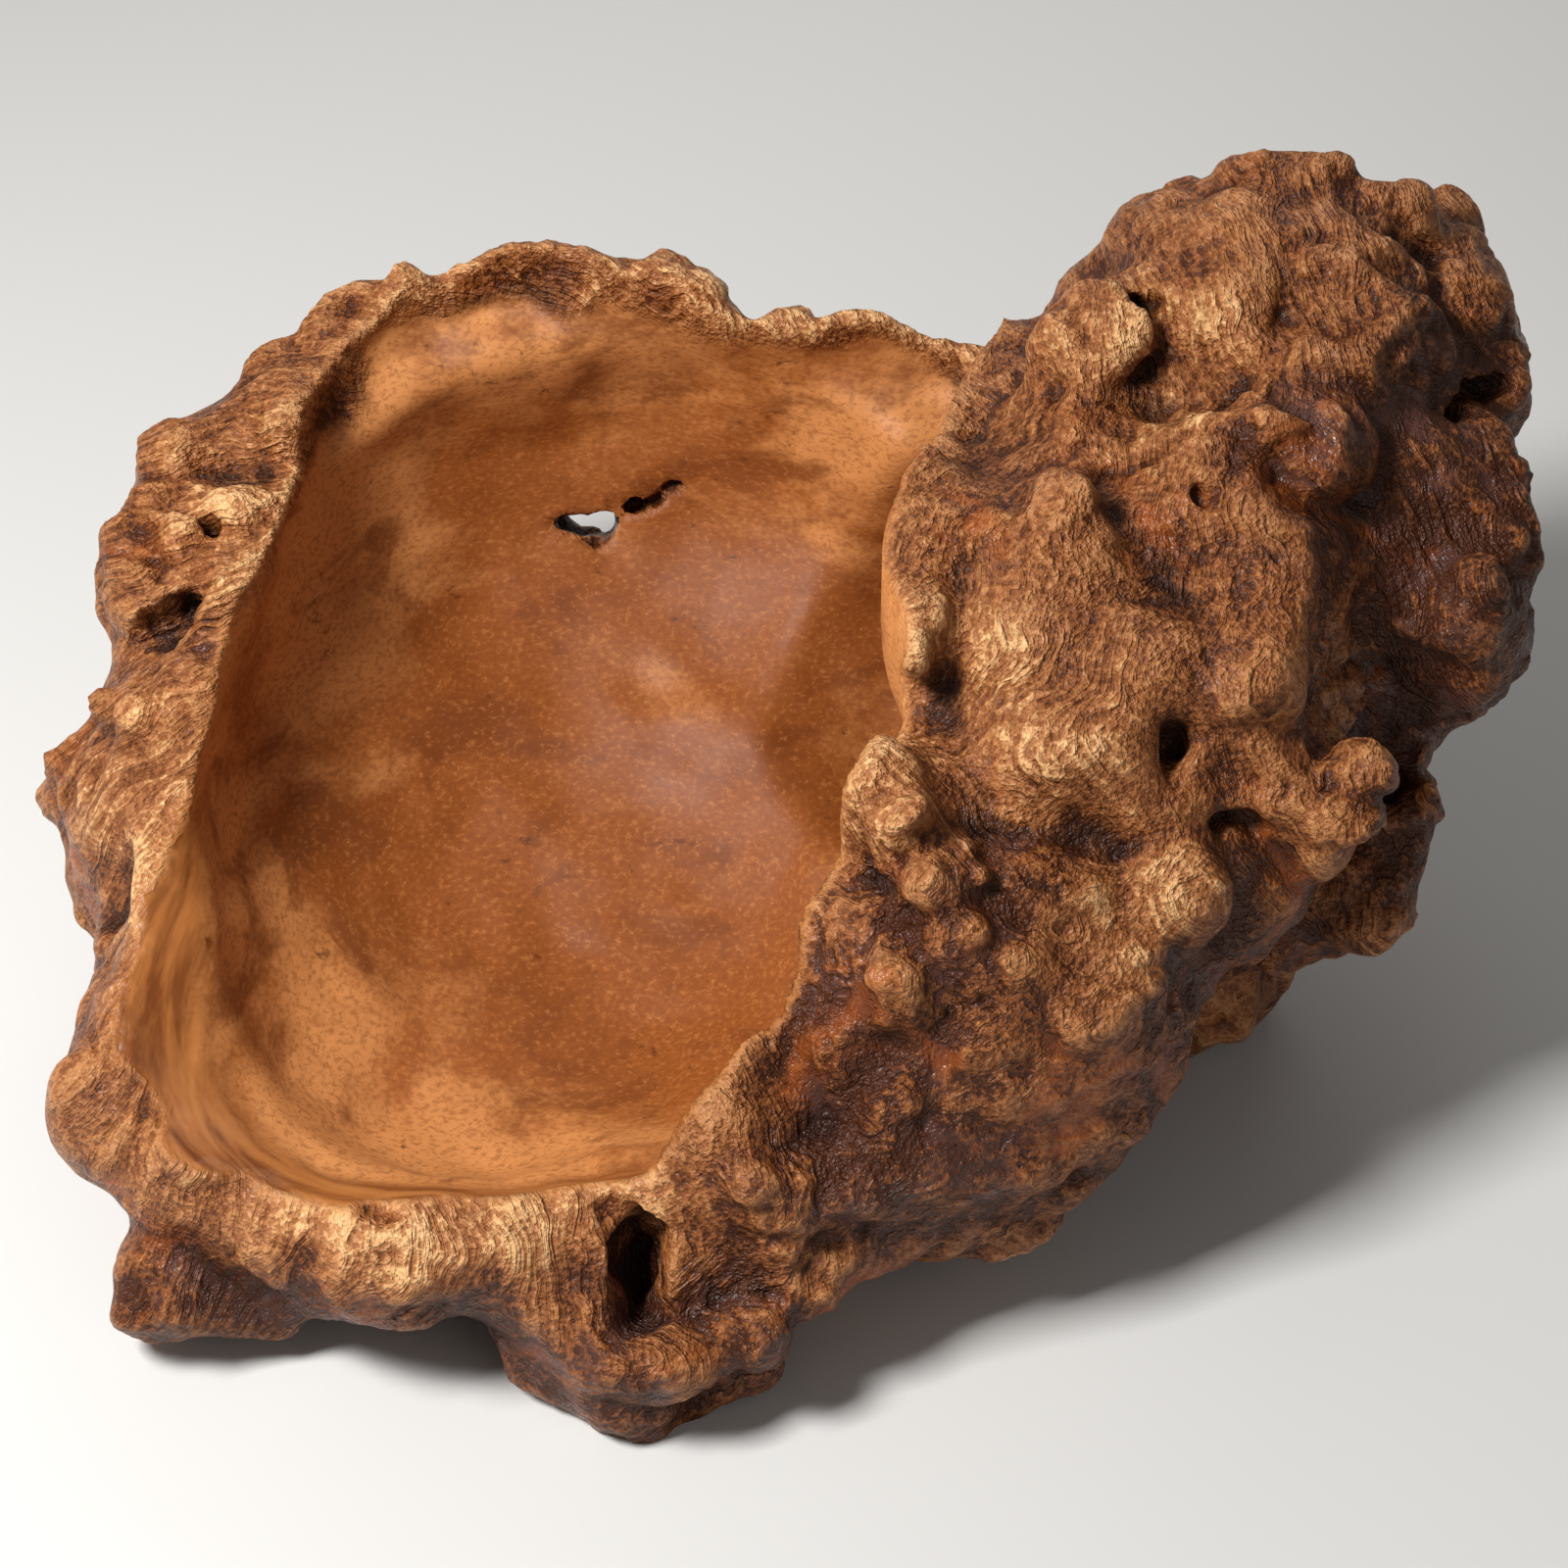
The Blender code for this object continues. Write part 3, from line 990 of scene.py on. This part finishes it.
        # Depth below the rim, which the finish turns into painted shade deeper in the hollow.
        skin.keep(Layer.DEEP, ramp(below, *self.deep))
        # The golden patches are partly painted light, the dark patches partly painted shade.
        skin.keep(Layer.GOLD_AND_LIT, self.patch_share(skin.points / MM, self.golden))
        skin.keep(Layer.DARK_AND_SHADE, self.patch_share(skin.points / MM, self.dark_and_shaded_patches))

    def patch_share(self, places: np.ndarray, patches: dict[str, Swelling]) -> np.ndarray:
        """How far places lie inside soft-edged patches.

        Args:
            places: One place a row, in mm.
            patches: The patches.

        Returns:
            The shares, from 0 to 1.
        """
        drift = places + over(places, lambda place: bend(place, self.patch_bend))
        share = np.zeros(len(places))
        for patch in patches.values():
            away = np.linalg.norm((drift - patch.middle) / patch.half, axis=1)
            share = np.maximum(share, ramp(away, *self.patch_edge))
        return share


class Field:
    """One output in a node tree, with arithmetic that adds the nodes for it."""

    def __init__(self, finish: "Nodes", socket: bpy.types.NodeSocket) -> None:
        """Wraps a socket.

        Args:
            finish: The node tree that it is in.
            socket: The output.
        """
        self.finish = finish
        self.socket = socket

    def maths(self, operation: str, *values: "Field | float", clamp: bool = False) -> "Field":
        """Adds one Math node.

        Args:
            operation: What it does.
            values: What it works on.
            clamp: Whether the result is kept from 0 to 1.

        Returns:
            The result.
        """
        settings = {"operation": operation, "use_clamp": clamp}
        return self.finish.node("ShaderNodeMath", settings, dict(enumerate(values)))

    def __add__(self, other: "Field | float") -> "Field":
        """Adds.

        Args:
            other: What is added.

        Returns:
            The sum.
        """
        return self.maths("ADD", self, other)

    __radd__ = __add__

    def __sub__(self, other: "Field | float") -> "Field":
        """Subtracts.

        Args:
            other: What is taken away.

        Returns:
            The difference.
        """
        return self.maths("SUBTRACT", self, other)

    def __rsub__(self, other: float) -> "Field":
        """Subtracts the other way round.

        Args:
            other: What this is taken away from.

        Returns:
            The difference.
        """
        return self.maths("SUBTRACT", other, self)

    def __mul__(self, other: "Field | float") -> "Field":
        """Multiplies.

        Args:
            other: What it is multiplied by.

        Returns:
            The product.
        """
        return self.maths("MULTIPLY", self, other)

    __rmul__ = __mul__

    def sine(self) -> "Field":
        """Works one value out.

        Returns:
            The sine.
        """
        return self.maths("SINE", self)

    def size(self) -> "Field":
        """Works one value out.

        Returns:
            The value without its sign.
        """
        return self.maths("ABSOLUTE", self)

    def clamped(self) -> "Field":
        """Works one value out.

        Returns:
            The value kept from 0 to 1.
        """
        return self.maths("ADD", self, 0.0, clamp=True)

    def between(self, low: float, high: float) -> "Field":
        """A smooth step.

        Args:
            low: Where it is 0.
            high: Where it is 1.

        Returns:
            The step, from 0 to 1.
        """
        settings = {"interpolation_type": "SMOOTHSTEP", "clamp": True}
        inputs = {"Value": self, "From Min": low, "From Max": high}
        return self.finish.node("ShaderNodeMapRange", settings, inputs)


class Nodes:
    """A material's node tree, built by one method."""

    def __init__(self, name: str) -> None:
        """Makes an empty material.

        Args:
            name: Its name.
        """
        self.material = bpy.data.materials.new(name)
        self.material.use_nodes = True
        self.tree = self.material.node_tree
        self.shader = self.tree.nodes["Principled BSDF"]

    def node(
        self, kind: str, settings: dict | None = None, inputs: dict | None = None, output: int | str = 0
    ) -> Field:
        """Adds any node.

        Args:
            kind: The node's type.
            settings: Its own settings, set first.
            inputs: Values or links for its sockets, by name or number.
            output: Which output to hand back.

        Returns:
            The output.
        """
        made = self.tree.nodes.new(kind)
        for name, value in (settings or {}).items():
            setattr(made, name, value)
        for name, value in (inputs or {}).items():
            self.feed(made.inputs[name], value)
        return Field(self, made.outputs[output])

    def feed(self, socket: bpy.types.NodeSocket, value: "Field | float | tuple") -> None:
        """Links or sets one socket.

        Args:
            socket: The input.
            value: What goes into it.
        """
        if isinstance(value, Field):
            self.tree.links.new(value.socket, socket)
        else:
            socket.default_value = value

    def vector(self, operation: str, one: Field, other: "Field | tuple" = (0.0, 0.0, 0.0)) -> Field:
        """Adds one Vector Math node.

        Args:
            operation: What it does.
            one: What it works on.
            other: The second thing it works on.

        Returns:
            The result.
        """
        return self.node("ShaderNodeVectorMath", {"operation": operation}, {0: one, 1: other})

    def layer(self, layer: Layer) -> Field:
        """Reads what the skin carries.

        Args:
            layer: Which of its layers.

        Returns:
            Its value.
        """
        return self.node("ShaderNodeAttribute", {"attribute_name": layer.value}, output="Fac")

    def noise(
        self, at: Field, scale: float, detail: float = 3.0, roughness: float = 0.55, distortion: float = 0.0
    ) -> Field:
        """Adds fractal noise.

        Args:
            at: Where it is read.
            scale: How many waves there are in a metre.
            detail: How many finer waves are added.
            roughness: How strong those are.
            distortion: How far it is bent.

        Returns:
            The noise, about 0 to 1.
        """
        inputs = {"Vector": at, "Scale": scale, "Detail": detail}
        inputs |= {"Roughness": roughness, "Distortion": distortion}
        return self.node("ShaderNodeTexNoise", {}, inputs)

    def mix(self, share: "Field | float", one: "Field | Colour", other: "Field | Colour") -> Field:
        """Mixes two colours.

        Args:
            share: How much of the second one, from 0 to 1.
            one: The first.
            other: The second.

        Returns:
            The colour between them.
        """
        return self.node("ShaderNodeMix", {"data_type": "RGBA"}, {0: share, 6: one, 7: other}, 2)


@dataclass(frozen=True)
class OiledBurlWood:
    """The finish of the whole piece: rough and golden brown outside, smooth and orange inside, with painted
    light and shade on both.
    """

    # Painted shade: the near-black laid into the skin's clefts and hollows.
    cleft_shade: Colour = (0.016, 0.004, 0.001, 1.0)
    umber: Colour = (0.060, 0.014, 0.003, 1.0)
    russet: Colour = (0.230, 0.070, 0.017, 1.0)
    tan: Colour = (0.405, 0.160, 0.053, 1.0)
    # Pale golden fibre colour, also used as painted glints on the brightest crests.
    straw_and_glint: Colour = (0.730, 0.405, 0.175, 1.0)
    plum_and_sheen: Colour = (0.100, 0.046, 0.040, 1.0)
    # Dark purple-grey of smooth patches: partly the wood's own colour, partly a painted grey sheen.
    ember: Colour = (0.300, 0.066, 0.010, 1.0)
    carved_base: Colour = (0.270, 0.074, 0.011, 1.0)
    carved_light: Colour = (0.540, 0.215, 0.064, 1.0)
    # Darker tone for mottles and specks in the hollow, also painted shade deeper down.
    carved_shade_and_mottle: Colour = (0.170, 0.042, 0.006, 1.0)
    carved_dark: Colour = (0.070, 0.017, 0.003, 1.0)
    lip_base: Colour = (0.360, 0.125, 0.030, 1.0)
    lip_dark: Colour = (0.150, 0.040, 0.007, 1.0)
    lip_light: Colour = (0.500, 0.215, 0.062, 1.0)
    specular: float = 0.3

    def make(self, eyes: list[tuple[Place, float]]) -> bpy.types.Material:
        """Builds the material.

        Args:
            eyes: Where the grain rings round a bud, and how far, in metres.

        Returns:
            The material.
        """
        n = Nodes("burl_wood")
        at = n.node("ShaderNodeTexCoord", output="Object")
        carved = n.layer(Layer.CARVED)
        relief = n.layer(Layer.RELIEF)
        height = n.layer(Layer.HEIGHT)
        # Golden patches: partly the wood's own tone, partly painted light on the lit faces.
        gold_and_lit = n.layer(Layer.GOLD_AND_LIT)
        fine, furrow = self.fibres(n, at)
        fibre = 0.54 * fine + 0.42 * furrow + 0.10 * self.rings(n, at, eyes)
        # Dark patches: partly dark wood, mostly painted shade on the right side and under the overhangs.
        dark_and_shade = n.layer(Layer.DARK_AND_SHADE)
        blotch = n.noise(at, 30.0, 3.0, 0.6, 0.8)
        # Smooth dark patches whose purple-grey is partly a painted sheen, more of them on the dark and shaded
        # patches.
        plum_and_sheen = blotch.between(0.50, 0.62) * (0.25 + 0.75 * dark_and_shade) * (1.0 - 0.8 * gold_and_lit)
        ember = n.noise(at, 19.0, 3.0, 0.6, 0.6).between(0.56, 0.68) * (1.0 - 0.7 * gold_and_lit)
        wide = n.noise(at, 24.0, 3.0) - 0.5
        # The tone is partly the wood's own grain and random variation, partly painted light: painted
        # highlight on the crests and painted shade in the hollows (relief and height), painted light on the
        # golden patches and painted shade on the dark patches.
        tone = fibre + 0.20 * relief + 0.15 * height + 0.15 * gold_and_lit - 0.34 * dark_and_shade + 0.75 * wide - 0.03
        base = n.mix(tone.between(0.10, 0.52), self.umber, self.russet)
        base = n.mix(tone.between(0.44, 0.84), base, self.tan)
        # The brightest tones turn pale: partly golden fibre, partly painted glints on crests and lit faces.
        base = n.mix(tone.between(0.74, 1.10) * (0.20 + 0.80 * gold_and_lit), base, self.straw_and_glint)
        base = n.mix(plum_and_sheen * 0.45, base, self.plum_and_sheen)
        base = n.mix(ember * 0.5, base, self.ember)
        # Painted shade: the skin darkens towards black where it sinks below the skin around it.
        cleft_shade = (0.0 - height).between(0.30, 1.0) * 0.75
        base = n.mix(cleft_shade, base, self.cleft_shade)
        colour = n.mix(carved, base, self.carved_colour(n, at))
        n.feed(n.shader.inputs["Base Color"], colour)
        n.feed(n.shader.inputs["Specular IOR Level"], self.specular)
        smooth = (plum_and_sheen + ember).clamped()
        rough_gloss = 0.42 - 0.14 * smooth - 0.10 * (fine - 0.5)
        lip = n.layer(Layer.LIP)
        carved_gloss = 0.46 + 0.20 * n.noise(at, 40.0) - 0.2 * lip
        gloss = rough_gloss * (1.0 - carved) + carved_gloss * carved
        n.feed(n.shader.inputs["Roughness"], gloss.clamped())
        grain = (0.66 * fine + 1.45 * furrow) * (1.0 - carved) * (1.0 - 0.5 * smooth)
        soft = n.noise(at, 160.0, 3.0) * carved * 0.05
        bump = {"Strength": 1.0, "Distance": 0.0018, "Height": grain + soft}
        n.feed(n.shader.inputs["Normal"], n.node("ShaderNodeBump", {}, bump))
        return n.material

    def fibres(self, n: Nodes, at: Field) -> tuple[Field, Field]:
        """Makes the grain of the rough skin.

        Args:
            n: The node tree.
            at: Where it is read.

        Returns:
            The fine grain, and the coarser furrows under it, each about 0 to 1.
        """
        wander = n.node("ShaderNodeTexNoise", {}, {"Vector": at, "Scale": 14.0, "Detail": 3.0}, "Color")
        wander = n.vector("SUBTRACT", wander, (0.5, 0.5, 0.5))
        wander = n.node("ShaderNodeVectorMath", {"operation": "SCALE"}, {0: wander, "Scale": 0.045})
        drift = n.vector("ADD", at, wander)
        flat = n.vector("MULTIPLY", n.vector("ADD", drift, (0.082, 0.011, 0.0)), (1.0, 1.0, 0.0))
        away = n.node("ShaderNodeVectorMath", {"operation": "LENGTH"}, {0: flat}, "Value")
        length = away + 0.8 * n.node("ShaderNodeSeparateXYZ", {}, {0: drift}, "Z")
        twist = {"Vector": n.vector("NORMALIZE", flat), "Angle": length * -5.0}
        twisted = n.node("ShaderNodeVectorRotate", {"rotation_type": "Z_AXIS"}, twist)
        turn = n.vector("MULTIPLY", twisted, (0.17, 0.17, 0.0))
        lifted = n.node("ShaderNodeCombineXYZ", {}, {"Z": length * 0.5})
        along = n.vector("ADD", turn, lifted)
        flakes = n.noise(along, 260.0, 2.0, 0.6, 0.3).between(0.38, 0.60)
        grit = n.noise(at, 400.0, 2.0, 0.6, 0.0).between(0.34, 0.64)
        fine = 0.45 * flakes + 0.55 * grit
        furrow = n.noise(along, 110.0, 4.0, 0.68, 0.0) * 2.0 - 1.0
        furrow = furrow.size().between(0.0, 0.34)
        swell = n.noise(at, 62.0, 4.0, 0.66, 0.4)
        return fine, 0.5 * furrow + 1.3 * (swell - 0.5) + 0.25

    def rings(self, n: Nodes, at: Field, eyes: list[tuple[Place, float]]) -> Field:
        """Makes rings of grain round the buds.

        Args:
            n: The node tree.
            at: Where they are read.
            eyes: Where the buds are, and how far the rings reach, in metres.

        Returns:
            The rings, from -1 to 1.
        """
        total = None
        for middle, reach in eyes:
            away = n.node("ShaderNodeVectorMath", {"operation": "DISTANCE"}, {0: at, 1: middle}, "Value")
            bent = away + 0.012 * (n.noise(at, 70.0, 2.0) - 0.5)
            wave = (bent * (2.0 * math.pi / 0.0034)).sine() * away.between(reach, reach * 0.3)
            total = wave if total is None else total + wave
        return total

    def carved_colour(self, n: Nodes, at: Field) -> Field:
        """Makes the colour of the carved hollow, with painted shade deeper down, and of its polished lip.

        Args:
            n: The node tree.
            at: Where it is read.

        Returns:
            The colour.
        """
        level = n.vector("MULTIPLY", at, (1.0, 1.0, 1.9))
        deep = n.layer(Layer.DEEP)
        # Random clouds of tone, with painted light near the rim and painted shade deeper down.
        cloud_and_shade = n.noise(level, 11.0, 4.0, 0.6, 0.5) + 0.08 - 0.23 * deep
        base = n.mix(cloud_and_shade.between(0.36, 0.62), self.carved_base, self.carved_light)
        # Random darker mottles, plus painted shade that grows with depth.
        shade = n.noise(level, 19.0, 3.0, 0.6, 0.8).between(0.50, 0.68) * 0.75 + 0.25 * deep
        base = n.mix(shade, base, self.carved_shade_and_mottle)
        fine = n.noise(level, 330.0, 4.0, 0.7, 0.3)
        base = n.mix(fine.between(0.54, 0.36) * 0.5, base, self.carved_shade_and_mottle)
        base = n.mix(fine.between(0.52, 0.68) * 0.35, base, self.carved_light)
        where = n.noise(at, 24.0, 2.0).between(0.48, 0.62)
        fleck = n.noise(level, 100.0, 3.0, 0.7, 0.4).between(0.60, 0.72) * where
        base = n.mix(fleck * 0.75, base, self.carved_dark)
        band = n.noise(self.round_mouth(n, at), 85.0, 4.0, 0.6, 0.4)
        lip = n.mix(band.between(0.60, 0.36), self.lip_base, self.lip_dark)
        lip = n.mix(band.between(0.56, 0.72) * 0.5, lip, self.lip_light)
        return n.mix(n.layer(Layer.LIP), base, lip)

    def round_mouth(self, n: Nodes, at: Field) -> Field:
        """Makes a frame that runs round the mouth and is stretched along it.

        Args:
            n: The node tree.
            at: Where it is read.

        Returns:
            The same place in that frame.
        """
        flat = n.vector("MULTIPLY", n.vector("ADD", at, (0.082, 0.011, 0.0)), (1.0, 1.0, 0.0))
        away = n.node("ShaderNodeVectorMath", {"operation": "LENGTH"}, {0: flat}, "Value")
        height = n.node("ShaderNodeSeparateXYZ", {}, {0: at}, "Z")
        lifted = n.node("ShaderNodeCombineXYZ", {}, {"Z": height + 0.5 * away})
        return n.vector("ADD", n.vector("MULTIPLY", n.vector("NORMALIZE", flat), (0.035, 0.035, 0.0)), lifted)


@dataclass(frozen=True)
class Lamp:
    """One soft square light: where it hangs and how wide it is, in metres, and its power in watts."""

    place: Place
    size: float
    power: float


@dataclass(frozen=True)
class Studio:
    """The pale floor, the soft lights and the camera."""

    lamps: tuple[tuple[str, Lamp], ...] = (
        ("key", Lamp((-0.90, -0.50, 1.50), 0.4, 44.0)),
        ("fill", Lamp((1.1, -1.3, 0.9), 1.2, 2.2)),
        ("back", Lamp((0.3, 1.5, 1.2), 1.2, 7.0)),
    )
    lit: Place = (0.0, 0.0, 0.12)
    surround: Colour = (1.0, 0.98, 0.95, 1.0)
    surround_strength: float = 0.16
    floor_colour: Colour = (0.62, 0.61, 0.59, 1.0)
    floor_roughness: float = 0.7
    floor_half: float = 6.0
    elevation: float = 44.0
    lens: float = 85.0
    sensor: float = 36.0
    distance: float = 1.511
    target: Place = (-0.0004, -0.0207, 0.160)

    def build(self) -> None:
        """Sets everything up around the piece."""
        self.floor()
        for name, lamp in self.lamps:
            self.light(name, lamp)
        self.world()
        self.camera()
        bpy.context.scene.view_settings.view_transform = "Standard"

    def floor(self) -> None:
        """Lays a plain pale floor."""
        shape = bmesh.new()
        bmesh.ops.create_grid(shape, x_segments=1, y_segments=1, size=self.floor_half)
        floor = new_object("floor", shape)
        pale = bpy.data.materials.new("pale_floor")
        pale.use_nodes = True
        shader = pale.node_tree.nodes["Principled BSDF"]
        shader.inputs["Base Color"].default_value = self.floor_colour
        shader.inputs["Roughness"].default_value = self.floor_roughness
        floor.data.materials.append(pale)

    def light(self, name: str, lamp: Lamp) -> None:
        """Hangs one light that looks at the piece.

        Args:
            name: Its name.
            lamp: Where it hangs, how wide it is and how strong.
        """
        light = bpy.data.lights.new(name, "AREA")
        light.size = lamp.size
        light.energy = lamp.power
        held = bpy.data.objects.new(name, light)
        held.location = lamp.place
        held.rotation_euler = (Vector(self.lit) - Vector(lamp.place)).to_track_quat("-Z", "Y").to_euler()
        bpy.context.scene.collection.objects.link(held)

    def world(self) -> None:
        """Puts an even, weak surround round it all."""
        world = bpy.data.worlds.new("studio")
        world.use_nodes = True
        background = world.node_tree.nodes["Background"]
        background.inputs["Color"].default_value = self.surround
        background.inputs["Strength"].default_value = self.surround_strength
        bpy.context.scene.world = world

    def camera(self) -> None:
        """Sets up the camera, which looks down on the open side."""
        lens = bpy.data.cameras.new("camera")
        lens.lens = self.lens
        lens.sensor_width = self.sensor
        lens.clip_start = 0.05
        camera = bpy.data.objects.new("camera", lens)
        tilt = math.radians(self.elevation)
        back = Vector((0.0, -math.cos(tilt), math.sin(tilt)))
        camera.location = Vector(self.target) + back * self.distance
        camera.rotation_euler = (math.pi / 2 - tilt, 0.0, 0.0)
        bpy.context.scene.collection.objects.link(camera)
        bpy.context.scene.camera = camera


def main() -> None:
    """Builds the piece, its finish and the studio."""
    logging.basicConfig(level=logging.INFO, format="%(name)s: %(message)s")
    burl = Burl()
    piece = burl.build()
    shift = Vector((*burl.to_middle, 0.0))
    eyes = [((Vector(middle) + shift) * MM, reach * MM) for middle, reach in burl.eyes.values()]
    piece.data.materials.clear()
    piece.data.materials.append(OiledBurlWood().make(eyes))
    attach(piece, "root")
    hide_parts("burl")
    log.info("%s: %d points, %d faces", piece.name, len(piece.data.vertices), len(piece.data.polygons))
    Studio().build()


if __name__ == "__main__":
    main()
